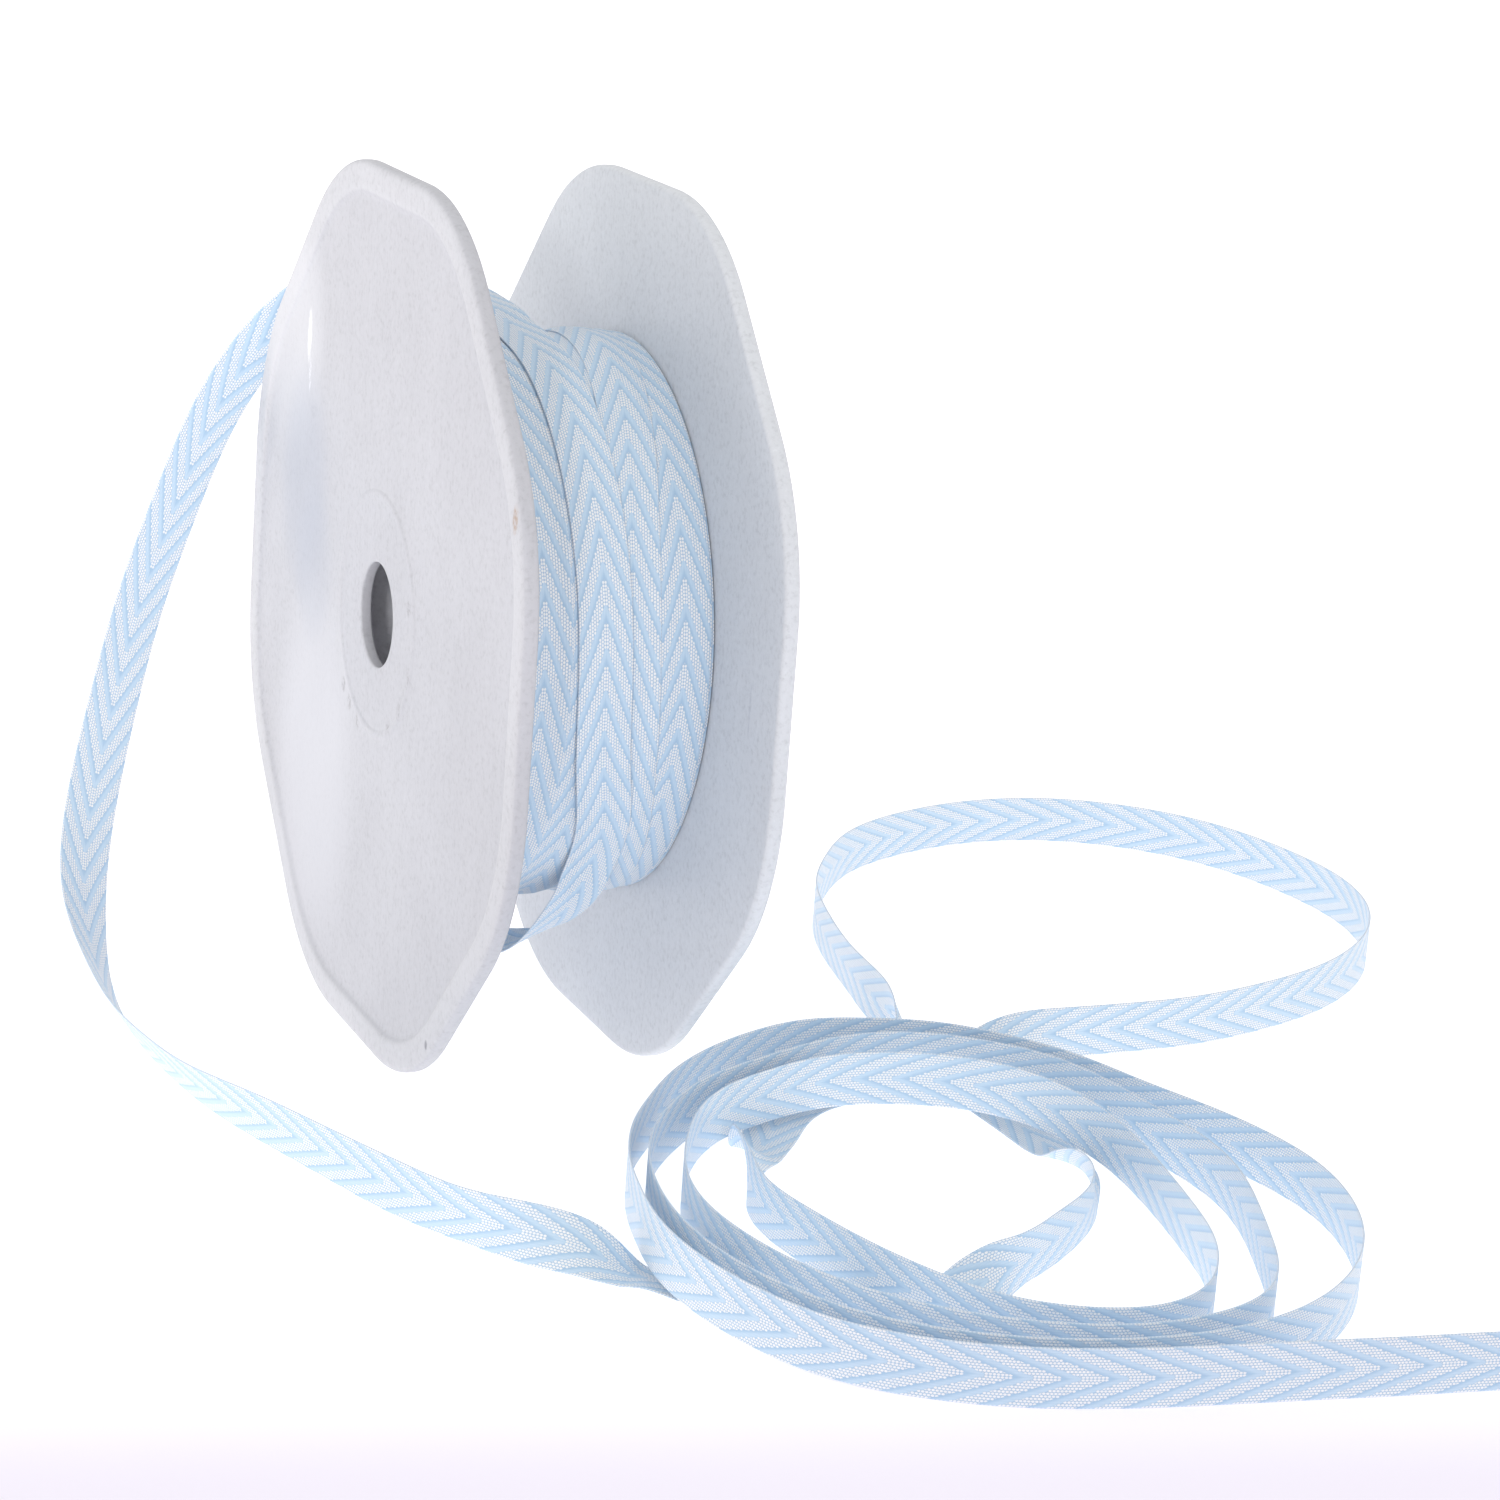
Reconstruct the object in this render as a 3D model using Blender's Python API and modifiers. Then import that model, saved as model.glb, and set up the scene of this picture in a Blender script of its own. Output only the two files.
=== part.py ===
"""Roll of woven herringbone ribbon on a white eight-sided spool, its loose end coiled beside it.

Metres, +Z up. The origin is on the table, under the middle of the near flange's edge. +X runs
along the spool's axis to the far flange, and -Y is the side where the ribbon comes forward.
"""
import math

import bmesh
import bpy
import numpy as np
from mathutils import Matrix

for old in list(bpy.data.objects):
    bpy.data.objects.remove(old, do_unlink=True)

MM = 0.001

# Spool sizes
FLANGE_APOTHEM = 80 * MM     # centre to each of the eight flats
CORNER_RADIUS = 45.6 * MM
FLANGE_THICK = 3.0 * MM
FLANGE_SPAN = 49.2 * MM      # over both outer faces
RIM_WIDTH = 5.5 * MM         # raised edge round the outer face
RIM_HEIGHT = 0.8 * MM
EDGE_ROUND = 0.9 * MM
RING_RADIUS = 21.9 * MM      # raised ring round the hub
RING_WIDTH = 1.6 * MM
RING_HEIGHT = 0.4 * MM
HUB_RADIUS = 22.4 * MM
HUB_WALL = 2.0 * MM
SPINDLE_HOLE_RADIUS = 9.55 * MM
GAP = 0.3 * MM

# Ribbon sizes
RIBBON_WIDTH = 10 * MM
RIBBON_THICK = 1.0 * MM
ROUTE_STEP = 5.2 * MM        # between the sections of the loose ribbon

# The winding's outside, one row for each place across it, from the near flange to the far one:
# millimetres from the near flange's outer face, and radius. The low ridges are its main turns.
WINDING = (
    (3.3, 50.4), (9.2, 50.8), (9.8, 51.6), (19.6, 51.9), (20.2, 51.2), (25.6, 51.3),
    (26.2, 52.0), (35.6, 52.1), (36.4, 51.3), (45.0, 51.5), (45.9, 50.9),
)

# The loose ribbon is one length of ribbon in four solids, end to end: name, and where each ends
# along it in millimetres. The last one ends with the ribbon.
STRETCHES = (
    ("ribbon_fall", 640), ("ribbon_loop", 1200), ("ribbon_coil_inner", 1870),
    ("ribbon_coil_outer", None),
)

# The loose ribbon's centre line, one row for each place along it: x, y and z in millimetres,
# then which way its upper edge points from there, as a heading from +X and a rise above level,
# in degrees. A row of three stands upright. Here x is measured from the near flange's outer face.
ROUTE = {
    "slack last turn under the winding": (
        (14, 18, 30, 180, 0), (15, 8, 23.8, 180, -6), (18, -2, 20.3, 180, -14), (21, -13, 21, 180, -22),
        (25.5, -22.5, 24.6, 180, -24), (29.3, -31, 32.6, 180, -14), (31, -38.5, 43, 180, -4),
        (30, -45.4, 52.6, 180, 0),
    ),
    "up the front of the winding and over its top": (
        (27.5, -50.3, 63.3, 180, 0), (26, -52.9, 76.5, 180, 0), (25.5, -51, 94.5, 180, 0),
        (25.2, -44, 109.6, 180, 0), (25, -32.5, 121.9, 180, 0), (24.8, -18, 129.9, 180, 0),
        (24.5, -3, 133, 180, 0), (23.6, 14, 134.6, 180, 0),
    ),
    "off the winding and down behind the near flange": (
        (21.6, 34, 136, 180, 4), (18.2, 54, 134.5, 178, 14), (12.5, 71.5, 128.5, 175, 30),
        (4, 83, 117.5, 178, 46), (-5.5, 86, 102.5, 180, 42), (-14.5, 82.5, 84, 180, 32),
        (-23, 75.5, 65.5, 180, 26), (-30.5, 65, 48, 180, 20), (-37.5, 52, 31.5, 178, 16),
        (-42.3, 37, 19.3, 185, 24), (-43.8, 20, 9.6, 195, 48),
    ),
    "forward over the table, leaning, then flat": (
        (-43.2, 1.5, 5.1, 198, 54), (-41.6, -17, 4.6, 200, 57), (-39, -33, 4.7, 200, 62),
        (-32.9, -51.5, 4.9, 200, 75), (-25.9, -71, 5, 200, 83), (-18, -91.3, 5, 202, 87),
        (-10, -105, 5, 215, 88), (-1.6, -113.2, 4.6, 37, 62), (5.2, -117.3, 2.9, 44, 30),
        (9.4, -120.9, 0.9, 47, 3), (18, -129.5, 0.6, 51, 0), (28, -138.3, 0.6, 60, 0),
        (40, -144.5, 0.6, 75, 0), (50.5, -146, 0.9, 85, 5),
    ),
    "first small turn, going back flat under the later turns": (
        (58.5, -144.5, 3, 100, 32), (67.8, -141, 4.9, 115, 84), (78.8, -133.2, 5, 130, 92),
        (89, -124.4, 5, 138, 93), (95.8, -115.4, 5, 143, 84), (99, -107.6, 4.6, 150, 68),
        (101.2, -100, 3.4, 160, 42), (103, -92.5, 1.7, 170, 16), (104, -84, 0.8, 178, 2),
        (104, -75, 0.6, 182, 0), (103.2, -62, 0.6, 184, 0), (102.2, -50, 0.6, 184, 0),
        (101.7, -38.6, 0.75, 182, 3), (101.4, -31, 2.6, 180, 30), (101.1, -25, 4.4, 180, 62),
    ),
    "wide loop out past the far flange": (
        (100.9, -17.5, 5, 180, 88), (102.5, 0, 5), (107, 25, 5), (113.5, 46, 5), (122.5, 62, 5),
        (136, 79, 5), (153, 90, 5), (172, 96, 5), (190, 95.5, 5), (206.5, 87.5, 5), (219.5, 72.5, 5),
        (227, 51, 5), (228.5, 28, 5), (222, 6.5, 5), (209, -11, 5), (192, -24, 5), (175.5, -31.5, 5),
        (158, -36.5, 5), (141, -38, 5), (128, -38.5, 5, 90, 85),
    ),
    "back under the later turns, lying flat, then upright": (
        (118, -39.5, 4.6, 95, 64), (110, -41, 3.1, 98, 25), (102, -43.5, 2.1, 100, 1),
        (91, -47, 2, 105, 0), (81, -49.5, 1.3, 115, 0), (71.5, -52, 0.8, 127, 0),
        (63.2, -58.3, 0.7, 134, 0), (55.2, -69.2, 0.85, 138, 1), (50.8, -74.8, 1.1, 140, 4),
        (47.6, -79.6, 3.7, 143, 37), (42.8, -89.3, 5.8, 150, 70), (39.1, -98.8, 6.2),
        (36.7, -111, 6.35),
    ),
    "first upright turn of the coil": (
        (38.1, -125.3, 6.5), (41.8, -140.3, 6.6), (47, -153.5, 6.5), (55, -163.5, 5.7),
        (66, -169.5, 5.1), (78, -171.3, 5), (88, -167, 5), (95.5, -158.5, 5), (101, -147, 5),
        (104.5, -133.5, 5), (107.2, -119, 5.1), (108.5, -106, 5.7), (108, -94, 6.7), (105, -83, 7.5),
        (100, -74, 7.9), (92.5, -67, 7.9), (83, -63, 7.9), (73.6, -60.4, 7.4), (64.3, -61.7, 7.2),
        (55.8, -65.1, 7.05), (46.2, -70.6, 6.95), (37.9, -79, 6.8), (31, -90.5, 6.8),
        (25.8, -102.5, 6.6), (22.8, -116, 6.6), (23.2, -131, 6.75), (27.2, -145, 6.45),
        (33.8, -156.5, 6.1), (43.8, -165.5, 5.4), (56, -172.5, 5.05),
    ),
    "second upright turn": (
        (70, -177, 5), (84, -176.5, 5), (96, -171.5, 5), (104, -163, 5), (109.8, -151, 5),
        (114.8, -138, 5), (119.7, -123, 5), (121.6, -109, 5.1), (119.6, -95, 5.7), (116, -82, 6.7),
        (110.5, -70, 7.6), (102.5, -61, 7.9), (92, -54, 7.9), (82.4, -52.1, 7.9), (73, -53.5, 7.9),
        (63, -57.5, 7.9), (53.5, -62, 7.8), (44, -67, 7.5), (35, -75, 7.1), (27, -85.5, 6.8),
        (21.3, -97.5, 6.6), (17.6, -111.5, 6.6), (15.9, -127, 6.9), (17.6, -141, 6.6),
        (22.5, -153.5, 6.1), (31, -164.5, 5.4), (42, -172.8, 5.05), (54.5, -178.8, 5), (68, -182, 5),
    ),
    "third upright turn": (
        (82, -182.3, 5), (96, -179, 5), (108, -172.5, 5), (118.5, -163, 5), (127, -151, 5),
        (132.8, -137, 5), (135.5, -122, 5), (134.3, -108, 5.1), (129.5, -95, 5.7), (122, -82, 6.7),
        (115, -69.5, 7.7), (106, -58, 8.1), (96.5, -49.5, 8.1), (85, -44.5, 7.9), (73.5, -43, 7.9),
        (62, -46.5, 7.9), (51, -52.5, 7.7), (40, -61.5, 7.3), (31, -72.5, 6.9), (23.5, -84, 6.7),
        (18, -97, 6.5), (14.1, -111.5, 7.2), (11.8, -127, 7.3), (13.2, -141, 6.8), (17.6, -153.5, 6.1),
    ),
    "front strand out to the cut end": (
        (25.2, -165.3, 5.4), (36, -174.2, 5.05), (49.3, -181, 5), (63.6, -185, 5), (79, -187.4, 5),
        (95, -189.3, 5), (111, -191.3, 5), (127, -193, 5), (143, -195.2, 5), (156, -197, 5),
    ),
}

ORIGIN_X = FLANGE_THICK / 2   # the flange's outer face lies this far on the -X side of the origin

parts = bpy.data.collections.new("roll_of_ribbon")
cutters = bpy.data.collections.new("cutters")
for collection in (parts, cutters):
    bpy.context.scene.collection.children.link(collection)


def material(name, colour, roughness):
    made = bpy.data.materials.new(name)
    made.use_nodes = True
    shader = made.node_tree.nodes["Principled BSDF"]
    shader.inputs["Base Color"].default_value = (*colour, 1)
    shader.inputs["Roughness"].default_value = roughness
    shader.inputs["Metallic"].default_value = 0
    return made


def add(name, bm, paint, collection=parts, parent=None):
    mesh = bpy.data.meshes.new(name)
    bm.to_mesh(mesh)
    bm.free()
    if paint:
        mesh.materials.append(paint)
    obj = bpy.data.objects.new(name, mesh)
    collection.objects.link(obj)
    obj.parent = parent
    return obj


def cut(obj, tool, operation="DIFFERENCE"):
    tool.hide_render = True
    tool.display_type = "WIRE"
    step = obj.modifiers.new(operation.lower(), "BOOLEAN")
    step.operation = operation
    step.solver = "EXACT"
    step.object = tool


def turned(name, profile, steps, paint, collection=parts):
    """A closed profile of (radius, height) turned round local Z."""
    bm = bmesh.new()
    points = [bm.verts.new((radius, 0, height)) for radius, height in profile]
    for here, following in zip(points, points[1:] + points[:1]):
        bm.edges.new((here, following))
    obj = add(name, bm, paint, collection)
    screw = obj.modifiers.new("turn", "SCREW")
    screw.steps = screw.render_steps = steps
    screw.use_merge_vertices = True
    screw.merge_threshold = 0.00001
    screw.use_normal_calculate = True
    return obj


# Spool: two eight-sided flanges and a hub tube on one axis, local Z of each piece along the axis
spool = bpy.data.objects.new("spool_axis", None)
spool.location = (-ORIGIN_X, 0, FLANGE_APOTHEM)
parts.objects.link(spool)


def rod(name, radius, length, segments, paint, collection):
    """A round bar along the spool's axis, its middle halfway between the flanges."""
    bm = bmesh.new()
    bmesh.ops.create_cone(bm, cap_ends=True, segments=segments, radius1=radius, radius2=radius,
                          depth=length)
    obj = add(name, bm, paint, collection, spool)
    obj.location = (FLANGE_SPAN / 2, 0, 0)
    obj.rotation_euler = (0, math.radians(90), 0)
    return obj


spindle_hole = rod("spindle_hole", SPINDLE_HOLE_RADIUS, 2 * FLANGE_SPAN, 40, None, cutters)


def flange(name, x, turn, paint):
    """An eight-sided plate with round corners; local +Z is its outer face."""
    bm = bmesh.new()
    across_corners = FLANGE_APOTHEM / math.cos(math.radians(22.5))
    bmesh.ops.create_cone(bm, cap_ends=True, segments=8, radius1=across_corners,
                          radius2=across_corners, depth=FLANGE_THICK,
                          matrix=Matrix.Rotation(math.radians(22.5), 4, "Z"))
    corners = [e for e in bm.edges if abs(e.verts[0].co.z - e.verts[1].co.z) > FLANGE_THICK / 2]
    bmesh.ops.bevel(bm, geom=corners, offset=CORNER_RADIUS * math.tan(math.radians(22.5)),
                    segments=7, profile=0.5, affect="EDGES")
    rims = [e for e in bm.edges if abs(e.verts[0].co.z - e.verts[1].co.z) < FLANGE_THICK / 4]
    bmesh.ops.bevel(bm, geom=rims, offset=EDGE_ROUND, segments=3, profile=0.5, affect="EDGES")
    face = [f for f in bm.faces if f.normal.z > 0.99 and f.calc_area() > FLANGE_APOTHEM ** 2]
    bmesh.ops.inset_region(bm, faces=face, thickness=RIM_WIDTH - EDGE_ROUND)
    bmesh.ops.inset_region(bm, faces=face, thickness=RIM_HEIGHT, depth=-RIM_HEIGHT)
    obj = add(name, bm, paint, parent=spool)
    obj.location = (x, 0, 0)
    obj.rotation_euler = (0, math.radians(turn), 0)
    obj.data.shade_smooth()
    obj.data.set_sharp_from_angle(angle=math.radians(30))

    floor = FLANGE_THICK / 2 - RIM_HEIGHT
    half = RING_WIDTH / 2
    ring = turned(name + "_ring", (
        (RING_RADIUS + half, floor - RING_HEIGHT), (RING_RADIUS + half, floor),
        (RING_RADIUS + half / 2, floor + RING_HEIGHT), (RING_RADIUS - half / 2, floor + RING_HEIGHT),
        (RING_RADIUS - half, floor), (RING_RADIUS - half, floor - RING_HEIGHT)), 56, paint, cutters)
    ring.parent = obj
    cut(obj, ring, "UNION")
    cut(obj, spindle_hole)
    return obj


white = material("white_plastic", (0.83, 0.83, 0.86), 0.42)
flange("flange_near", FLANGE_THICK / 2, -90, white)
flange("flange_far", FLANGE_SPAN - FLANGE_THICK / 2, 90, white)

hub_length = FLANGE_SPAN - 2 * FLANGE_THICK - 2 * GAP
hub = rod("hub", HUB_RADIUS, hub_length, 56, material("white_hub", (0.74, 0.74, 0.78), 0.5), parts)
cut(hub, rod("hub_bore", HUB_RADIUS - HUB_WALL, 2 * hub_length, 56, None, cutters))

# Wound ribbon: one turned solid round the hub
blue = material("blue_ribbon", (0.62, 0.76, 0.87), 0.9)
inner = HUB_RADIUS + GAP
profile = [(inner, WINDING[0][0] * MM), (inner, WINDING[-1][0] * MM)]
profile += [(r * MM, x * MM) for x, r in reversed(WINDING)]
winding = turned("ribbon_winding", profile, 72, blue)
winding.parent = spool
winding.rotation_euler = (0, math.radians(90), 0)


# Loose ribbon: a flat strip lofted along a smooth curve through the route
def smooth(knots, values, at):
    """Natural cubic through the values at the knots, read at the given places."""
    gap = np.diff(knots)
    slope = np.diff(values, axis=0) / gap[:, None]
    system = np.eye(len(knots))
    right = np.zeros_like(values)
    rows = np.arange(1, len(knots) - 1)
    system[rows, rows - 1] = gap[:-1]
    system[rows, rows] = 2 * (gap[:-1] + gap[1:])
    system[rows, rows + 1] = gap[1:]
    right[1:-1] = 6 * np.diff(slope, axis=0)
    bend = np.linalg.solve(system, right)
    i = np.clip(np.searchsorted(knots, at, side="right") - 1, 0, len(gap) - 1)
    step = (at - knots[i])[:, None]
    h = gap[i][:, None]
    return (values[i] + step * (slope[i] - h * (2 * bend[i] + bend[i + 1]) / 6)
            + step ** 2 * bend[i] / 2 + step ** 3 * (bend[i + 1] - bend[i]) / (6 * h))


def ribbon_path():
    """The route as knots along it, centres there and directions across the ribbon."""
    rows = np.array([row if len(row) == 5 else (*row, 0, 90)
                     for stretch in ROUTE.values() for row in stretch], dtype=float)
    centre = rows[:, :3] * MM - (ORIGIN_X, 0, 0)
    heading, rise = np.radians(rows[:, 3:]).T
    across = np.stack([np.cos(rise) * np.cos(heading), np.cos(rise) * np.sin(heading),
                       np.sin(rise)], axis=1)
    knots = np.r_[0, np.cumsum(np.linalg.norm(np.diff(centre, axis=0), axis=1))]
    return knots, centre, across


def ribbon_strip(name, route, start, end):
    """The flat strip from one place along the route to another, as a closed loft."""
    knots, centres, directions = route
    at = np.linspace(start, end, round((end - start) / ROUTE_STEP) + 1)
    centre, across = smooth(knots, centres, at), smooth(knots, directions, at)
    nudge = 0.1 * MM
    along = smooth(knots, centres, at + nudge) - smooth(knots, centres, at - nudge)
    along /= np.linalg.norm(along, axis=1)[:, None]
    across -= along * (along * across).sum(axis=1)[:, None]
    across /= np.linalg.norm(across, axis=1)[:, None]
    out = np.cross(along, across)
    # nowhere does an edge or a face reach below the table
    reach = (np.abs(across[:, 2]) * RIBBON_WIDTH + np.abs(out[:, 2]) * RIBBON_THICK) / 2
    centre[:, 2] = np.maximum(centre[:, 2], reach)

    bm = bmesh.new()
    sections = [[bm.verts.new(c + a * sa * RIBBON_WIDTH / 2 + o * so * RIBBON_THICK / 2)
                 for sa, so in ((-1, -1), (1, -1), (1, 1), (-1, 1))]
                for c, a, o in zip(centre, across, out)]
    for before, after in zip(sections, sections[1:]):
        for k in range(4):
            bm.faces.new((before[k], before[k - 3], after[k - 3], after[k]))
    bm.faces.new(sections[0][::-1])
    bm.faces.new(sections[-1])
    bmesh.ops.recalc_face_normals(bm, faces=bm.faces)
    strip = add(name, bm, blue)
    strip.data.shade_smooth()
    strip.data.set_sharp_from_angle(angle=math.radians(40))


route = ribbon_path()
start = route[0][0]
for name, end in STRETCHES:
    end = route[0][-1] if end is None else end * MM
    ribbon_strip(name, route, start, end)
    start = end + GAP
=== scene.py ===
import math

import bpy
import numpy as np
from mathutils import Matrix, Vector


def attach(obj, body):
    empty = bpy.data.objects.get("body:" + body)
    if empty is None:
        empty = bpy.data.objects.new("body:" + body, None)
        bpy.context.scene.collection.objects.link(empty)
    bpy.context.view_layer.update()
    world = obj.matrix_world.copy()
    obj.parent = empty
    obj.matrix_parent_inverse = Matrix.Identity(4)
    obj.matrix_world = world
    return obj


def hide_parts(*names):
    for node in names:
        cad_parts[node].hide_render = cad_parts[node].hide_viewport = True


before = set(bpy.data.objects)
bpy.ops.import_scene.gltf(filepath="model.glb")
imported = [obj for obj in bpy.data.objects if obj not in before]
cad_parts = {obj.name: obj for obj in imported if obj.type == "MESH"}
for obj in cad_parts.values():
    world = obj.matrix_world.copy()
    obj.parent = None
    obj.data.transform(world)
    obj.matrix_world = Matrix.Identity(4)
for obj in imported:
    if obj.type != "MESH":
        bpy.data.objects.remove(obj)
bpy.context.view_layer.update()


# Table, light and camera. The spool is photographed on a matt white table top that runs on out of
# the picture. The table top glows, and towards the front its glow is painted darker: painted shade.
# Light comes from all round, and more of it from a lamp up to the left behind the near flange and
# two soft narrow ones from the front.
def wire(tree, kind, sockets=(), **settings):
    """One shader node: its settings, then its sockets by name or number, as values or as links."""
    node = tree.nodes.new(kind)
    for name, value in settings.items():
        setattr(node, name, value)
    for name, value in dict(sockets).items():
        if isinstance(value, bpy.types.NodeSocket):
            tree.links.new(value, node.inputs[name])
        else:
            node.inputs[name].default_value = value
    return node


def finish_of(name):
    """A new material, as its node tree and its Principled shader."""
    made = bpy.data.materials.new(name)
    made.use_nodes = True
    return made, made.node_tree, made.node_tree.nodes["Principled BSDF"]


FRONT_SLANT = 0.238                          # the darker strip's lean from the X axis
FRONT_SHADE_FADES = ((-0.2, -0.125), (-0.24, -0.42))      # where it fades in and out, in metres forward

table_mesh = bpy.data.meshes.new("table_top")
table_mesh.from_pydata([(-6, -4, 0), (6, -4, 0), (6, 9, 0), (-6, 9, 0)], [], [(0, 1, 2, 3)])
table_top = bpy.data.objects.new("table_top", table_mesh)
bpy.context.collection.objects.link(table_top)
matt_white, tree, shader = finish_of("matt_white_table")
shader.inputs["Base Color"].default_value = (0.62, 0.61, 0.63, 1)
shader.inputs["Roughness"].default_value = 0.9
shader.inputs["Emission Strength"].default_value = 0.8
where = wire(tree, "ShaderNodeTexCoord").outputs["Object"]
x, y, _ = wire(tree, "ShaderNodeSeparateXYZ", {0: where}).outputs
forward = wire(tree, "ShaderNodeMath", {0: x, 1: FRONT_SLANT, 2: y},
               operation="MULTIPLY_ADD").outputs[0]
# Painted shade: the table's glow fades darker and lilac along a slanted strip towards the front.
near, beyond = (wire(tree, "ShaderNodeMapRange", {0: forward, 1: start, 2: end},
                     interpolation_type="SMOOTHSTEP").outputs[0] for start, end in FRONT_SHADE_FADES)
lit = wire(tree, "ShaderNodeMath", {0: near, 1: beyond}, operation="MAXIMUM").outputs[0]
painted_front_shade = wire(tree, "ShaderNodeMix", {0: lit, 6: (0.47, 0.42, 0.52, 1), 7: (1, 0.99, 1, 1)},
            data_type="RGBA")
tree.links.new(painted_front_shade.outputs[2], shader.inputs["Emission Color"])
table_mesh.materials.append(matt_white)

room = bpy.data.worlds.new("white_room")
room.use_nodes = True
room.node_tree.nodes["Background"].inputs["Color"].default_value = (1, 1, 1, 1)
room.node_tree.nodes["Background"].inputs["Strength"].default_value = 0.86
bpy.context.scene.world = room

for name, kind, place, aim, power, breadth in (      # metres for the area, degrees for the spots
        ("lamp_left", "AREA", (-1.2, 0.45, 0.85), (0.05, -0.03, 0.06), 1.8, 0.3),
        ("lamp_on_winding", "SPOT", (0.12, -1.05, 0.14), (0.025, -0.05, 0.075), 5.0, 12),
        ("lamp_on_tail", "SPOT", (-0.7, -1.0, 0.35), (-0.05, 0.06, 0.12), 36.0, 11)):
    lamp = bpy.data.objects.new(name, bpy.data.lights.new(name, kind))
    lamp.data.energy = power
    if kind == "AREA":
        lamp.data.size = breadth
    else:
        lamp.data.shadow_soft_size = 0.12
        lamp.data.spot_size, lamp.data.spot_blend = math.radians(breadth), 1
    lamp.location = place
    lamp.rotation_euler = (Vector(aim) - Vector(place)).to_track_quat("-Z", "Y").to_euler()
    bpy.context.collection.objects.link(lamp)

eye = bpy.data.objects.new("camera", bpy.data.cameras.new("camera"))
eye.data.lens, eye.data.sensor_width = 97.24, 36
eye.location = (-0.221355, -0.681529, 0.252168)
eye.rotation_euler = [math.radians(turn) for turn in (74.873, -4.153, -22.371)]
bpy.context.collection.objects.link(eye)
bpy.context.scene.camera = eye
bpy.context.scene.view_settings.view_transform = "Standard"


# Spool flanges: two eight-sided plates of white moulded polystyrene, the outer face of each sunk a
# little inside a soft raised edge, with a fine raised ring round the hole that fits over a spindle.
MM = 0.001
NEAR_FACE = -1.5 * MM        # where the near flange's outer face is along the spool's axis
FLANGE_SPAN = 49.2 * MM      # over both outer faces
AXIS_HEIGHT = 80 * MM


def eight_sided(angle, side, corner):
    """Distance from the axis to an eight-sided outline with round corners. Along a flat it is the
    flat's distance over the cosine of the angle from its middle, and beyond the flat's end it is
    where a ray from the axis leaves the corner's circle."""
    off = np.abs((angle + np.pi / 8) % (np.pi / 4) - np.pi / 8)
    centre = (side - corner) / math.cos(np.pi / 8)
    ray = np.maximum(corner ** 2 - (centre * np.sin(np.pi / 8 - off)) ** 2, 0)
    flat = side * np.tan(off) <= (side - corner) * math.tan(np.pi / 8)
    return np.where(flat, side / np.cos(off), centre * np.cos(np.pi / 8 - off) + np.sqrt(ray))


def skin(name, grid, paint, chart=None, closed=(True, True), capped=False):
    """A mesh over a grid of points, one face to each square of it. Closed directions join their
    last line to the first. Capped ends fold each end ring shut across its middle."""
    rows, columns = grid.shape[:2]
    index = np.arange(rows * columns).reshape(rows, columns)
    if closed[0]:
        index = np.vstack((index, index[:1]))
    if closed[1]:
        index = np.hstack((index, index[:, :1]))
    corners = np.arange(index.size).reshape(index.shape)
    squares = np.stack((corners[:-1, :-1], corners[1:, :-1], corners[1:, 1:], corners[:-1, 1:]),
                       axis=-1).reshape(-1, 4)
    if capped:
        near = np.arange(columns // 2 - 1)
        far = columns - 1 - near
        cap = np.stack((near, near + 1, far - 1, far), axis=-1)
        squares = np.vstack((squares, cap, cap[:, ::-1] + corners[-1, 0]))
    points = grid.reshape(-1, 3)
    faces = index.ravel()[squares]
    a, b, c, d = (points[faces[:, k]] for k in range(4))
    if (np.cross(c - a, d - b) * (a + b + c + d)).sum() < 0:
        squares, faces = squares[:, ::-1], faces[:, ::-1]
    mesh = bpy.data.meshes.new(name)
    mesh.vertices.add(len(points))
    mesh.vertices.foreach_set("co", points.ravel())
    mesh.loops.add(faces.size)
    mesh.loops.foreach_set("vertex_index", faces.ravel())
    mesh.polygons.add(len(faces))
    mesh.polygons.foreach_set("loop_start", np.arange(0, faces.size, 4))
    mesh.update(calc_edges=True)
    if chart is not None:
        mesh.uv_layers.new(name="cloth").data.foreach_set(
            "uv", chart.reshape(-1, 2)[squares].ravel())
    mesh.shade_smooth()
    mesh.materials.append(paint)
    made = bpy.data.objects.new(name, mesh)
    bpy.context.collection.objects.link(made)
    return made


def turned_grid(outline, angles, side, out):
    """The outline carried round the spool's axis: each of its points is a distance from the axis,
    the radius of its corners and a height along the axis from the middle of the plate."""
    reach = eight_sided(angles[None], outline[:, :1], outline[:, 1:2])
    x = np.broadcast_to(side + out * outline[:, 2:], reach.shape)
    return np.stack((x, reach * np.cos(angles), AXIS_HEIGHT + reach * np.sin(angles)), axis=-1)


def math_node(tree, operation, *values):
    """The result of one sum on numbers or sockets."""
    return wire(tree, "ShaderNodeMath", enumerate(values), operation=operation).outputs[0]


def ramp(tree, value, low, high, start=0.0, end=1.0):
    """Start below low, end above high, and a soft S between them."""
    return wire(tree, "ShaderNodeMapRange", {0: value, 1: low, 2: high, 3: start, 4: end},
                interpolation_type="SMOOTHSTEP").outputs[0]


def noise(tree, where, scale, detail=2.0, rough=0.5, stretch=(1, 1, 1)):
    """Cloudy noise from 0 to 1, its grains stretched as given."""
    placed = wire(tree, "ShaderNodeMapping", {"Vector": where, "Scale": stretch}).outputs[0]
    return wire(tree, "ShaderNodeTexNoise", {"Vector": placed, "Scale": scale, "Detail": detail,
                                             "Roughness": rough}).outputs["Fac"]


def blend(tree, share, first, second):
    """One colour over the other by a share from 0 to 1."""
    node = wire(tree, "ShaderNodeMix", {0: share}, data_type="RGBA")
    for name, value in ((6, first), (7, second)):
        if isinstance(value, bpy.types.NodeSocket):
            tree.links.new(value, node.inputs[name])
        else:
            node.inputs[name].default_value = (*value, 1)
    return node.outputs[2]


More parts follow.
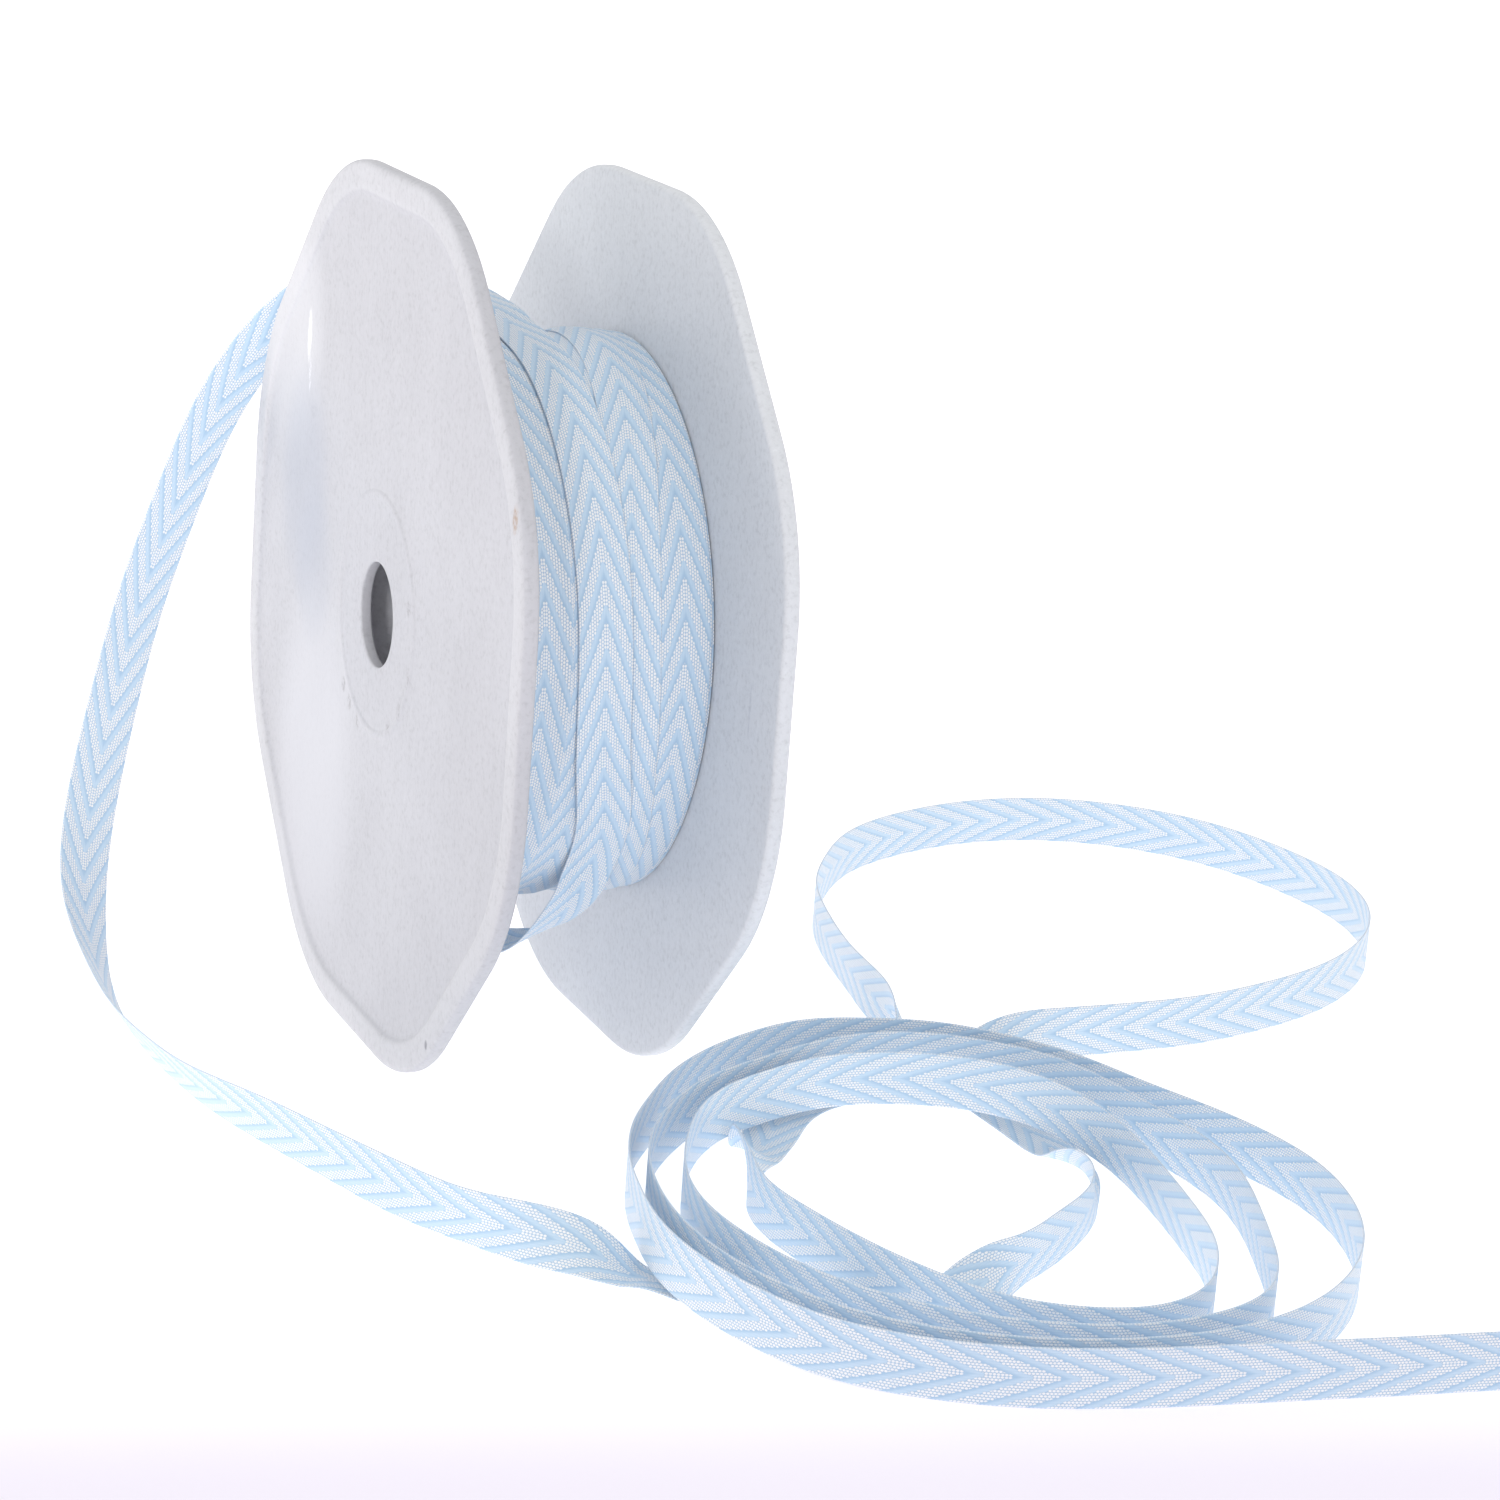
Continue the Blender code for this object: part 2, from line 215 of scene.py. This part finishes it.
def white_moulding(name, tint, rim_side, rim_painted_light_tint, spots):
    """White plastic with an orange-peel surface, fine specks, a faint upright grain, handling marks
    and painted light and shade. Past rim_side along the axis it takes a second tint for the raised
    edge, painted lighter than the near flange's face as painted light. Each spot, whether a mark or
    a painted highlight or shade, gives place across and up, half sizes, colour, strength, and how
    far a fine noise breaks it up."""
    made, tree, shader = finish_of(name)
    where = wire(tree, "ShaderNodeTexCoord").outputs["Object"]
    x, y, z = wire(tree, "ShaderNodeSeparateXYZ", {0: where}).outputs
    grain = noise(tree, where, 420, 3, 0.6, (1, 1, 0.2))
    speck = noise(tree, where, 1000, 3, 0.65)
    cloud = noise(tree, where, 26, 3)
    # Painted light: past rim_side the raised edge takes a second tint, lighter on the near flange.
    on_rim = ramp(tree, x, *(side * MM for side in rim_side))
    colour = blend(tree, on_rim, tint, rim_painted_light_tint)
    shade = math_node(tree, "MULTIPLY_ADD", ramp(tree, cloud, 0.3, 0.7), -0.035, 1)
    shade = math_node(tree, "MULTIPLY_ADD", ramp(tree, grain, 0.35, 0.75), -0.02, shade)
    shade = math_node(tree, "MULTIPLY_ADD", ramp(tree, speck, 0.45, 0.8), -0.16, shade)
    shade = math_node(tree, "MULTIPLY_ADD", ramp(tree, speck, 0.42, 0.2), 0.08, shade)
    colour = wire(tree, "ShaderNodeVectorMath", {0: colour, 3: shade}, operation="SCALE").outputs[0]
    breakup = noise(tree, where, 900, 4, 0.7)
    for across, up, half_across, half_up, spot_colour, strength, broken in spots:
        dy = math_node(tree, "SUBTRACT", y, across * MM)
        dy = math_node(tree, "DIVIDE", dy, half_across * MM)
        dz = math_node(tree, "SUBTRACT", z, up * MM)
        dz = math_node(tree, "DIVIDE", dz, half_up * MM)
        far = math_node(tree, "ADD", math_node(tree, "MULTIPLY", dy, dy),
                        math_node(tree, "MULTIPLY", dz, dz))
        spot = ramp(tree, far, 0.1, 1.0, strength, 0)
        spot = math_node(tree, "MULTIPLY", spot, ramp(tree, breakup, 0.42, 0.62, 1 - broken, 1))
        colour = blend(tree, spot, colour, spot_colour)
    tree.links.new(colour, shader.inputs["Base Color"])
    tree.links.new(ramp(tree, cloud, 0.2, 0.8, 0.36, 0.48), shader.inputs["Roughness"])
    bump = wire(tree, "ShaderNodeBump", {"Strength": 0.45, "Distance": 0.0001, "Height": speck})
    bump = wire(tree, "ShaderNodeBump", {"Strength": 0.15, "Distance": 0.0001, "Height": grain,
                                         "Normal": bump.outputs[0]})
    tree.links.new(bump.outputs[0], shader.inputs["Normal"])
    return made


round_ones = [(9.55, -1.1), (9.55, 0.3), (9.62, 0.52), (9.85, 0.66), (10.3, 0.7), (16, 0.7),
              (20.9, 0.7), (21.1, 0.73), (21.35, 0.86), (21.6, 0.9), (21.9, 0.91), (22.2, 0.9),
              (22.45, 0.86), (22.7, 0.73), (22.9, 0.7), (26, 0.7), (30, 0.7)]
rim = [(42, 0.7), (55, 0.7), (66, 0.7), (72.6, 0.7), (73.3, 0.72), (73.8, 0.8), (74.15, 0.96),
       (74.5, 1.2), (74.85, 1.38), (75.3, 1.47), (76, 1.5), (77.5, 1.5), (78.6, 1.5), (79.1, 1.46),
       (79.5, 1.34), (79.78, 1.1), (79.94, 0.82), (80, 0.5), (80, 0), (80, -0.6), (79.94, -0.95),
       (79.74, -1.24), (79.45, -1.43), (79.1, -1.5), (76, -1.5), (66, -1.5), (55, -1.5), (42, -1.5)]
inside = [(30, -1.5), (22, -1.5), (14, -1.5), (10.1, -1.5), (9.75, -1.44), (9.6, -1.3)]
outline = np.array([(a, a, h) for a, h in round_ones] + [(a, a - 34.4, h) for a, h in rim]
                   + [(a, a, h) for a, h in inside]) * MM
angles = np.radians(np.arange(0, 360, 1.25))
# Marks and painted light: place across and up, half sizes, colour, strength, how far a fine noise
# breaks it up.
scuffs = ((17.5, 62.5), (13.4, 60), (8, 58), (-10.2, 61.7), (-15.8, 66), (-20, 73.6),
          (-18.5, 85.6))
near_marks_and_painted_light = (
    # The next two are painted light: broad lighter patches on the upper and lower left of the near
    # face.
    (60, 122, 24, 30, (0.74, 0.74, 0.77), 0.5, 0),
    (34, 42, 30, 42, (0.64, 0.64, 0.68), 0.7, 0),
    # The next two are a painted highlight: a white streak and spot, broken up by the noise.
    (48.8, 122.5, 1.6, 6, (1, 1, 1), 1, 0.6),
    (47.5, 115, 0.9, 4, (0.95, 0.95, 1), 0.8, 1),
    (44, 109, 2.4, 2.2, (0.42, 0.42, 0.45), 0.5, 1),
    (-73.1, 113.8, 1.5, 3, (0.4, 0.27, 0.19), 0.95, 0.7),
    (-42.8, 12.6, 0.9, 1.1, (0.2, 0.2, 0.24), 0.95, 0.3),
    # The next two are painted shade with a painted blue reflection of the ribbon: blue-grey
    # patches.
    (48, 94, 18, 26, (0.42, 0.45, 0.53), 0.4, 0),
    (40, 80, 14, 18, (0.44, 0.47, 0.55), 0.3, 0),
    *((across, up, 1.5, 1.9, (0.3, 0.29, 0.31), 0.7, 0.9) for across, up in scuffs),
)
far_marks = ((-68, 79, 0.5, 6, (0.5, 0.52, 0.58), 0.6, 0.6),)
# The raised edge's tint, lighter than the near flange's face: painted light.
RIM_PAINTED_LIGHT_TINT = (0.6, 0.6, 0.63)
# Both flanges are of one plastic. The far one's tint is lighter and bluer: painted light and blue
# bounce on its inner face, which lies in the near one's shade.
for name, middle, out, node, tint, rim_side, spots in (
        ("flange_facing_left", NEAR_FACE + 1.5 * MM, -1, "flange_near",
         (0.55, 0.55, 0.585), (-1.05, -1.35), near_marks_and_painted_light),
        ("flange_facing_right", NEAR_FACE + FLANGE_SPAN - 1.5 * MM, 1, "flange_far",
         (0.72, 0.74, 0.775), (47.25, 47.55), far_marks)):
    plate = skin(name, turned_grid(outline, angles, middle, out),
                 white_moulding(name + "_plastic", tint, rim_side, RIM_PAINTED_LIGHT_TINT, spots))
    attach(plate, "root")
    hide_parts(node)


# Hub: a plain tube of the same white plastic, moulded with one flange and pressed into the other.
# Its bore is wider than the hole in the flanges, so through the hole it is seen in shadow.
tube = np.array([(20.4, -21.0), (20.4, 0), (20.4, 21.0), (20.6, 21.2), (21.4, 21.3), (22.2, 21.2),
                 (22.4, 21.0), (22.4, 0), (22.4, -21.0), (22.2, -21.2), (21.4, -21.3),
                 (20.6, -21.2)]) * MM
HUB_TINT = (0.72, 0.72, 0.76)           # it has no raised edge, so both tints are this one
hub = skin("hub_tube", turned_grid(tube[:, (0, 0, 1)], np.radians(np.arange(0, 360, 2.5)),
                                   NEAR_FACE + FLANGE_SPAN / 2, 1),
           white_moulding("hub_plastic", HUB_TINT, (60, 61), HUB_TINT, ()))
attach(hub, "root")
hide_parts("hub")


# Wound ribbon: woven polyester 10 mm wide in a herringbone of pale blue and white, wound on the hub
# in rows side by side, each turn lying over the edges of the ones under it.
WIDTH = 10 * MM
THICK = 0.3 * MM
REPEAT = 7.4                 # of the weave along the ribbon, in mm
CORE = 50.9 * MM             # radius under the last two layers of turns
LAST_TURN_END = 250          # degrees round from the front, which is where the loose end starts
END_LIFT = 0.87 * MM         # how far the last turn's end stands off the turns under it
LIFT_OVER = 35               # degrees over which it rises to that
LANES = (                    # degrees wound before the front of the last turn, place along the axis
    (-2990, 8.4), (-2860, 8.4), (-2520, 16), (-2160, 24), (-1800, 32), (-1500, 39.5), (-1330, 40.5),
    (-1080, 40.5), (-880, 40.5), (-800, 38.2), (-757, 34.9), (-736, 32.3), (-712, 30.9),
    (-689, 31.8), (-667, 34.6), (-649, 36.8), (-625, 38.4), (-590, 37.6), (-500, 30), (-440, 24.6),
    (-400, 23.8), (-330, 23.8), (-270, 23.2), (-170, 18.5), (-90, 15.3), (0, 14.8), (90, 14.5),
    (180, 14.1), (230, 13.9), (250, 14),
)


def smooth(knots, values, at):
    """Natural cubic through the values at the knots, read at the given places."""
    gap = np.diff(knots)
    slope = np.diff(values, axis=0) / gap[:, None]
    system = np.eye(len(knots))
    right = np.zeros_like(values)
    rows = np.arange(1, len(knots) - 1)
    system[rows, rows - 1] = gap[:-1]
    system[rows, rows] = 2 * (gap[:-1] + gap[1:])
    system[rows, rows + 1] = gap[1:]
    right[1:-1] = 6 * np.diff(slope, axis=0)
    bend = np.linalg.solve(system, right)
    i = np.clip(np.searchsorted(knots, at, side="right") - 1, 0, len(gap) - 1)
    step = (at - knots[i])[:, None]
    h = gap[i][:, None]
    return (values[i] + step * (slope[i] - h * (2 * bend[i] + bend[i + 1]) / 6)
            + step ** 2 * bend[i] / 2 + step ** 3 * (bend[i + 1] - bend[i]) / (6 * h))


def soft_step(value):
    """0 below 0, 1 above 1, and a soft S between them."""
    t = np.clip(value, 0, 1)
    return t * t * (3 - 2 * t)


lanes = np.array(LANES)


def lane(turned):
    """Where along the axis the ribbon's middle lies after being wound so many degrees."""
    return smooth(lanes[:, 0], lanes[:, 1:], turned)[:, 0] * MM + NEAR_FACE


def level(turned, x):
    """Radius of what a turn lies on: the core, and a ribbon's thickness for every earlier turn
    that lies there, falling off softly over 1.1 mm past that turn's edges."""
    radius = np.full(x.shape, CORE)
    for before in range(1, 9):
        earlier = turned - 360 * before
        there = np.abs(x - lane(np.maximum(earlier, lanes[0, 0]))[:, None])
        cover = 1 - soft_step((there - WIDTH / 2) / (1.1 * MM))
        radius += THICK * cover * (earlier >= lanes[0, 0])[:, None]
    return radius


def ribbon_grid(middle, out, across_mm, along_mm):
    """A closed flat strip from its middle surface: its outer face from edge to edge, then its inner
    face back. The edges are thinned and rounded. The chart is millimetres across and along, and
    the inner face of the cloth shows the same weave half a repeat on, with its colours changed."""
    half = THICK / 2 * np.interp(np.abs(across_mm), (4.4, 4.75, 4.93, 5), (1, 1.1, 0.8, 0.2))
    outer, inner = middle + out * half[:, None], middle - out * half[:, None]
    grid = np.concatenate((outer, inner[:, ::-1]), axis=1)
    across = np.r_[across_mm, across_mm[::-1]]
    shift = np.r_[np.zeros(len(across_mm)), np.full(len(across_mm), REPEAT / 2)]
    chart = np.stack(np.broadcast_arrays(across[None], along_mm[:, None] + shift), axis=-1)
    return grid, np.concatenate((chart, chart[:, :1]), axis=1)


# Places across the ribbon in mm, close together where its edges are rounded.
ACROSS = np.array([-5, -4.93, -4.75, -4.4, -3.3, -1.7, 0, 1.7, 3.3, 4.4, 4.75, 4.93, 5])


def herringbone(name):
    """The weave, from the chart's millimetres. Across it are twenty-two columns of warp floats,
    mirrored about the middle, each 0.4545 wide and every second one half a row on. Rows are 0.6167
    long. A float's phase is its middle along plus 2.65 times its column's distance from the middle,
    over the repeat of 7.4, taken halfway to the same sum at the point itself so that the steps are
    soft. Up to 7/12 of the repeat the floats are white, and the rest is blue satin."""
    breadth, length, slope = 0.4545, 0.6167, 2.65
    made, tree, shader = finish_of(name)
    chart = wire(tree, "ShaderNodeUVMap", uv_map="cloth").outputs[0]
    u, v, _ = wire(tree, "ShaderNodeSeparateXYZ", {0: chart}).outputs
    aside = math_node(tree, "ABSOLUTE", u)
    number = math_node(tree, "FLOOR", math_node(tree, "DIVIDE", aside, breadth))
    column = math_node(tree, "MULTIPLY_ADD", number, breadth, breadth / 2)
    in_column = math_node(tree, "SUBTRACT", aside, column)
    in_column = math_node(tree, "DIVIDE", in_column, breadth / 2)
    odd = math_node(tree, "MULTIPLY", math_node(tree, "FLOORED_MODULO", number, 2), 0.5)
    rows = math_node(tree, "MULTIPLY_ADD", v, 1 / length, odd)
    in_row = math_node(tree, "MULTIPLY_ADD", math_node(tree, "FRACT", rows), 2, -1)
    middle = math_node(tree, "SUBTRACT", math_node(tree, "FLOOR", rows), odd)
    middle = math_node(tree, "MULTIPLY_ADD", middle, length, 0.5 * length)
    phase = math_node(tree, "MULTIPLY_ADD", column, slope, middle)
    phase = math_node(tree, "DIVIDE", phase, REPEAT)
    flow = math_node(tree, "MULTIPLY_ADD", aside, slope, v)
    flow = math_node(tree, "DIVIDE", flow, REPEAT)
    phase = math_node(tree, "MULTIPLY", math_node(tree, "ADD", phase, flow), 0.5)
    light = math_node(tree, "LESS_THAN", math_node(tree, "FRACT", phase), 7 / 12)
    flow = math_node(tree, "FRACT", flow)
    wide = math_node(tree, "POWER", math_node(tree, "DIVIDE", in_column, 0.88), 2)
    tall = math_node(tree, "POWER", math_node(tree, "DIVIDE", in_row, 0.86), 2)
    oval = ramp(tree, math_node(tree, "ADD", wide, tall), 0.6, 1.35, 1, 0)
    dot = math_node(tree, "MULTIPLY", oval, light)
    rib = math_node(tree, "SUBTRACT", 1, math_node(tree, "MULTIPLY", in_column, in_column))
    after = ramp(tree, flow, 0.58, 0.84, 1, 0)
    edge = ramp(tree, aside, 4.7, 4.95)
    cloud = noise(tree, chart, 0.35, 3)
    thread = noise(tree, chart, 2.2, 2, 0.6, (1, 0.25, 1))
    satin = blend(tree, after, (0.59, 0.75, 0.905), (0.41, 0.6, 0.795))
    satin = blend(tree, ramp(tree, rib, 0.0, 0.7, 0.35, 0), satin, (0.44, 0.61, 0.79))
    pits = blend(tree, light, satin, (0.47, 0.63, 0.81))
    colour = blend(tree, math_node(tree, "MULTIPLY", dot, 0.96), pits, (1, 1, 1))
    colour = blend(tree, ramp(tree, cloud, 0.3, 0.7, 0, 0.1), colour, (0.5, 0.64, 0.8))
    colour = blend(tree, ramp(tree, thread, 0.4, 0.75, 0, 0.18), colour, (0.52, 0.66, 0.82))
    knot = blend(tree, ramp(tree, in_row, -0.3, 0.3), (0.96, 0.98, 1), (0.58, 0.65, 0.77))
    colour = blend(tree, math_node(tree, "MULTIPLY", edge, 0.5), colour, knot)
    tree.links.new(colour, shader.inputs["Base Color"])
    shader.inputs["Roughness"].default_value = 0.55
    shader.inputs["Sheen Weight"].default_value = 0.25
    shader.inputs["Sheen Roughness"].default_value = 0.4
    shader.inputs["Sheen Tint"].default_value = (0.88, 0.94, 1, 1)
    height = math_node(tree, "MULTIPLY_ADD", dot, 0.8, math_node(tree, "MULTIPLY", rib, 0.35))
    bump = wire(tree, "ShaderNodeBump", {"Strength": 0.6, "Distance": 0.0001, "Height": height})
    tree.links.new(bump.outputs[0], shader.inputs["Normal"])
    return made


weave = herringbone("herringbone_cloth")
turned = np.arange(lanes[0, 0], LAST_TURN_END + 1, 2.0)
x = lane(turned)[:, None] - ACROSS * MM
radius = level(turned, x) + THICK / 2
lift = END_LIFT * soft_step((turned - LAST_TURN_END + LIFT_OVER) / LIFT_OVER)
radius = radius + lift[:, None]
angle = np.radians(turned)[:, None]
out = np.stack(np.broadcast_arrays(0 * x, -np.cos(angle), np.sin(angle)), axis=-1)
middle = out * radius[..., None] + (0, 0, AXIS_HEIGHT)
middle[..., 0] = x
along = np.r_[0, np.cumsum(np.linalg.norm(np.diff(middle[:, 6], axis=0), axis=1))] / MM
grid, chart = ribbon_grid(middle, out, ACROSS, along - along[-1])
wound = skin("wound_turns", grid, weave, chart=chart, closed=(False, True), capped=True)
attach(wound, "root")
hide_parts("ribbon_winding")

# Core of the winding: the older turns under the last ones, a solid ring of the same cloth. Its
# sides show the edges of the turns between the flanges.
ring = np.array([(22.8, 3.4), (24, 3.3), (49.6, 3.3), (50.4, 3.5), (50.7, 4.0), (50.7, 12),
                 (50.7, 24), (50.7, 36), (50.8, 44.4), (51.2, 45.3), (51.3, 45.9), (51, 46.05),
                 (49.6, 46.1), (24, 46.1), (22.8, 46), (22.8, 24)]) * MM
core_angles = np.radians(np.arange(0, 360, 2))
round_core = np.r_[core_angles, 2 * np.pi] * 50.7
lane_across = (np.r_[ring[:, 1], ring[0, 1]] / MM + 1.6) % 10 - 5    # lanes 10 mm apart
core_chart = np.stack(np.broadcast_arrays(lane_across[:, None], round_core[None]), axis=-1)
core = skin("older_turns", turned_grid(ring[:, (0, 0, 1)], core_angles, NEAR_FACE, 1), weave,
            chart=core_chart)
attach(core, "root")
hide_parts("ribbon_winding")


# Loose ribbon: the last 2.56 m of the same ribbon. It leaves the winding slack, goes up the front
# and over, drops behind the near flange, and lies in curls on its edge on the table to its cut end.
ROUTE = {
    "slack last turn under the winding": (
        (14, 18, 30, 180, 0), (15, 8, 23.8, 180, -6), (18, -2, 20.3, 180, -14),
        (21, -13, 21, 180, -22), (25.5, -22.5, 24.6, 180, -24), (29.3, -31, 32.6, 180, -14),
        (31, -38.5, 43, 180, -4), (30, -45.4, 52.6, 180, 0),
    ),
    "up the front of the winding and over its top": (
        (27.5, -50.3, 63.3, 180, 0), (26, -52.9, 76.5, 180, 0), (25.5, -51, 94.5, 180, 0),
        (25.2, -44, 109.6, 180, 0), (25, -32.5, 121.9, 180, 0), (24.8, -18, 129.9, 180, 0),
        (24.5, -3, 133, 180, 0), (23.6, 14, 134.6, 180, 0),
    ),
    "off the winding and down behind the near flange": (
        (21.6, 34, 136, 180, 4), (18.2, 54, 134.5, 178, 14), (12.5, 71.5, 128.5, 175, 30),
        (4, 83, 117.5, 178, 46), (-5.5, 86, 102.5, 180, 42), (-14.5, 82.5, 84, 180, 32),
        (-23, 75.5, 65.5, 180, 26), (-30.5, 65, 48, 180, 20), (-37.5, 52, 31.5, 178, 16),
        (-42.3, 37, 19.3, 185, 24), (-43.8, 20, 9.6, 195, 48),
    ),
    "forward over the table, leaning, then flat": (
        (-43.2, 1.5, 5.1, 198, 54), (-41.6, -17, 4.6, 200, 57), (-39, -33, 4.7, 200, 62),
        (-32.9, -51.5, 4.9, 200, 75), (-25.9, -71, 5, 200, 83), (-18, -91.3, 5, 202, 87),
        (-10, -105, 5, 215, 88), (-1.6, -113.2, 4.6, 37, 62), (5.2, -117.3, 2.9, 44, 30),
        (9.4, -120.9, 0.9, 47, 3), (18, -129.5, 0.6, 51, 0), (28, -138.3, 0.6, 60, 0),
        (40, -144.5, 0.6, 75, 0), (50.5, -146, 0.9, 85, 5),
    ),
    "first small turn, going back flat under the later turns": (
        (58.5, -144.5, 3, 100, 32), (67.8, -141, 4.9, 115, 84), (78.8, -133.2, 5, 130, 92),
        (89, -124.4, 5, 138, 93), (95.8, -115.4, 5, 143, 84), (99, -107.6, 4.6, 150, 68),
        (101.2, -100, 3.4, 160, 42), (103, -92.5, 1.7, 170, 16), (104, -84, 0.8, 178, 2),
        (104, -75, 0.6, 182, 0), (103.2, -62, 0.6, 184, 0), (102.2, -50, 0.6, 184, 0),
        (101.7, -38.6, 0.75, 182, 3), (101.4, -31, 2.6, 180, 30), (101.1, -25, 4.4, 180, 62),
    ),
    "wide loop out past the far flange": (
        (100.9, -17.5, 5, 180, 88), (102.5, 0, 5), (107, 25, 5), (113.5, 46, 5), (122.5, 62, 5),
        (136, 79, 5), (153, 90, 5), (172, 96, 5), (190, 95.5, 5), (206.5, 87.5, 5),
        (219.5, 72.5, 5), (227, 51, 5), (228.5, 28, 5), (222, 6.5, 5), (209, -11, 5), (192, -24, 5),
        (175.5, -31.5, 5), (158, -36.5, 5), (141, -38, 5), (128, -38.5, 5, 90, 85),
    ),
    "back under the later turns, lying flat, then upright": (
        (118, -39.5, 4.6, 95, 64), (110, -41, 3.1, 98, 25), (102, -43.5, 2.1, 100, 1),
        (91, -47, 2, 105, 0), (81, -49.5, 1.3, 115, 0), (71.5, -52, 0.8, 127, 0),
        (63.2, -58.3, 0.7, 134, 0), (55.2, -69.2, 0.85, 138, 1), (50.8, -74.8, 1.1, 140, 4),
        (47.6, -79.6, 3.7, 143, 37), (42.8, -89.3, 5.8, 150, 70), (39.1, -98.8, 6.2),
        (36.7, -111, 6.35),
    ),
    "first upright turn of the coil": (
        (38.1, -125.3, 6.5), (41.8, -140.3, 6.6), (47, -153.5, 6.5), (55, -163.5, 5.7),
        (66, -169.5, 5.1), (78, -171.3, 5), (88, -167, 5), (95.5, -158.5, 5), (101, -147, 5),
        (104.5, -133.5, 5), (107.2, -119, 5.1), (108.5, -106, 5.7), (108, -94, 6.7),
        (105, -83, 7.5), (100, -74, 7.9), (92.5, -67, 7.9), (83, -63, 7.9), (73.6, -60.4, 7.4),
        (64.3, -61.7, 7.2), (55.8, -65.1, 7.05), (46.2, -70.6, 6.95), (37.9, -79, 6.8),
        (31, -90.5, 6.8), (25.8, -102.5, 6.6), (22.8, -116, 6.6), (23.2, -131, 6.75),
        (27.2, -145, 6.45), (33.8, -156.5, 6.1), (43.8, -165.5, 5.4), (56, -172.5, 5.05),
    ),
    "second upright turn": (
        (70, -177, 5), (84, -176.5, 5), (96, -171.5, 5), (104, -163, 5), (109.8, -151, 5),
        (114.8, -138, 5), (119.7, -123, 5), (121.6, -109, 5.1), (119.6, -95, 5.7), (116, -82, 6.7),
        (110.5, -70, 7.6), (102.5, -61, 7.9), (92, -54, 7.9), (82.4, -52.1, 7.9), (73, -53.5, 7.9),
        (63, -57.5, 7.9), (53.5, -62, 7.8), (44, -67, 7.5), (35, -75, 7.1), (27, -85.5, 6.8),
        (21.3, -97.5, 6.6), (17.6, -111.5, 6.6), (15.9, -127, 6.9), (17.6, -141, 6.6),
        (22.5, -153.5, 6.1), (31, -164.5, 5.4), (42, -172.8, 5.05), (54.5, -178.8, 5),
        (68, -182, 5),
    ),
    "third upright turn": (
        (82, -182.3, 5), (96, -179, 5), (108, -172.5, 5), (118.5, -163, 5), (127, -151, 5),
        (132.8, -137, 5), (135.5, -122, 5), (134.3, -108, 5.1), (129.5, -95, 5.7), (122, -82, 6.7),
        (115, -69.5, 7.7), (106, -58, 8.1), (96.5, -49.5, 8.1), (85, -44.5, 7.9), (73.5, -43, 7.9),
        (62, -46.5, 7.9), (51, -52.5, 7.7), (40, -61.5, 7.3), (31, -72.5, 6.9), (23.5, -84, 6.7),
        (18, -97, 6.5), (14.1, -111.5, 7.2), (11.8, -127, 7.3), (13.2, -141, 6.8),
        (17.6, -153.5, 6.1),
    ),
    "front strand out to the cut end": (
        (25.2, -165.3, 5.4), (36, -174.2, 5.05), (49.3, -181, 5), (63.6, -185, 5), (79, -187.4, 5),
        (95, -189.3, 5), (111, -191.3, 5), (127, -193, 5), (143, -195.2, 5), (156, -197, 5),
    ),
}


ONTO_WINDING = 0.92 * MM     # how far the cloth is let down where it lies on the winding
ONTO_TABLE = 0.32 * MM       # the same where it lies flat on the table


def loose_ribbon(step):
    """The middle line through the route's rows and the directions across and out of the cloth. It
    is let down onto the winding and onto the table by what the thicker solid stands off them, and
    nowhere does an edge or a face reach below the table. Between the flanges, cloth nearer than
    55.2 mm to the spool's axis lies on the winding, wholly so 1.6 mm further in, and cloth lower
    than 4 mm lies on the table, wholly so at 2 mm and as far as it is flat."""
    rows = np.array([row if len(row) == 5 else (*row, 0, 90)
                     for stretch in ROUTE.values() for row in stretch], dtype=float)
    places = rows[:, :3] * MM + (NEAR_FACE, 0, 0)
    heading, rise = np.radians(rows[:, 3:]).T
    pointing = np.stack([np.cos(rise) * np.cos(heading), np.cos(rise) * np.sin(heading),
                         np.sin(rise)], axis=1)
    knots = np.r_[0, np.cumsum(np.linalg.norm(np.diff(places, axis=0), axis=1))]
    at = np.linspace(0, knots[-1], round(knots[-1] / step) + 1)
    centre, across = smooth(knots, places, at), smooth(knots, pointing, at)
    nudge = 0.1 * MM
    along = smooth(knots, places, at + nudge) - smooth(knots, places, at - nudge)
    along /= np.linalg.norm(along, axis=1)[:, None]
    across -= along * (along * across).sum(axis=1)[:, None]
    across /= np.linalg.norm(across, axis=1)[:, None]
    out = np.cross(along, across)
    from_axis = centre * (0, 1, 1) - (0, 0, AXIS_HEIGHT)
    radius = np.linalg.norm(from_axis, axis=1)
    touching = soft_step((55.2 * MM - radius) / (1.6 * MM)) * (np.abs(centre[:, 0]) < 0.045)
    centre -= from_axis * (ONTO_WINDING * touching / radius)[:, None]
    low = soft_step((4 * MM - centre[:, 2]) / (2 * MM)) * np.abs(out[:, 2])
    centre[:, 2] -= ONTO_TABLE * low
    reach = (np.abs(across[:, 2]) * WIDTH + np.abs(out[:, 2]) * THICK) / 2
    centre[:, 2] = np.maximum(centre[:, 2], reach)
    return centre, along, across, out


centre, along, across, out = loose_ribbon(1.6 * MM)
middle = centre[:, None] + across[:, None] * (ACROSS * MM)[:, None]
length_to = np.r_[0, np.cumsum(np.linalg.norm(np.diff(centre, axis=0), axis=1))]
grid, chart = ribbon_grid(middle, np.broadcast_to(out[:, None], middle.shape), ACROSS,
                          length_to / MM)
loose = skin("loose_ribbon", grid, weave, chart=chart, closed=(False, True), capped=True)
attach(loose, "root")
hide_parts("ribbon_fall", "ribbon_loop", "ribbon_coil_inner", "ribbon_coil_outer")
